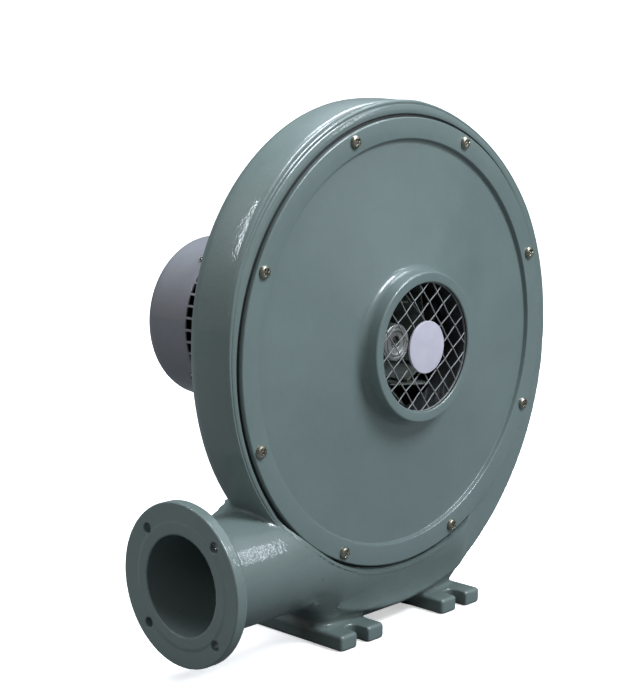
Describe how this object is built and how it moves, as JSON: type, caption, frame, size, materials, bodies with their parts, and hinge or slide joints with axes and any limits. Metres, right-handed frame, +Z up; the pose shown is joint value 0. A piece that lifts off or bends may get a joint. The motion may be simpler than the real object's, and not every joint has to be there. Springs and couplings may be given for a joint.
{
  "type": "centrifugal combustion-air fan",
  "caption": "Cast scroll blower on slotted feet with a guarded ring inlet, a round bolted outlet flange and a fan-cooled flange motor on its back.",
  "frame": {"origin": "centre of the inlet ring at its front face, on the shaft axis", "axes": "+Y along the shaft from inlet to motor, -X towards the outlet, +Z up"},
  "size_m": [0.4764, 0.3125, 0.497],
  "materials": {
    "grey_enamel": "gloss",
    "dark_enamel": "gloss",
    "cast_aluminium": "satin",
    "sheet_aluminium": "satin",
    "steel": "satin",
    "zinc_plate": "satin",
    "copper_wire": "satin",
    "brass": "satin",
    "rubber": "matte",
    "black_plastic": "matte",
    "white_plastic": "gloss"
  },
  "bodies": {
    "stator": {"volute_casing": "grey_enamel", "front_cover": "grey_enamel", "cover_gasket": "rubber", "cover_screws": "zinc_plate", "inlet_guard": "zinc_plate", "guard_badge": "white_plastic", "stator_core": "steel", "stator_windings": "copper_wire", "motor_housing": "grey_enamel", "front_end_shield": "grey_enamel", "rear_end_shield": "grey_enamel", "front_bearing_outer": "steel", "front_bearing_balls": "steel", "rear_bearing_outer": "steel", "rear_bearing_balls": "steel", "wave_washer": "steel", "shaft_seal": "rubber", "motor_bolts": "zinc_plate", "motor_washers": "zinc_plate", "tie_rods": "zinc_plate", "fan_cowl": "dark_enamel", "cowl_screws": "zinc_plate", "terminal_box": "dark_enamel", "terminal_gasket": "rubber", "terminal_lid": "dark_enamel", "lid_screws": "zinc_plate", "terminal_block": "black_plastic", "terminal_studs": "brass", "cable_gland": "brass", "gland_seal": "rubber", "gland_cap": "brass", "box_screws": "zinc_plate"},
    "rotor": {"impeller_hub": "cast_aluminium", "impeller_backplate": "sheet_aluminium", "impeller_blades": "sheet_aluminium", "impeller_shroud": "sheet_aluminium", "impeller_rivets": "cast_aluminium", "impeller_bolt": "steel", "impeller_washer": "steel", "shaft_key": "steel", "motor_shaft": "steel", "rotor_core": "steel", "rotor_end_rings": "cast_aluminium", "front_bearing_inner": "steel", "rear_bearing_inner": "steel", "cooling_fan": "black_plastic", "fan_circlip": "steel"}
  },
  "joints": [
    {"name": "rotor_spin", "type": "hinge", "parent": "stator", "child": "rotor", "pos_m": [0, 0.115, 0], "axis": [0, 1, 0], "continuous": true}
  ]
}
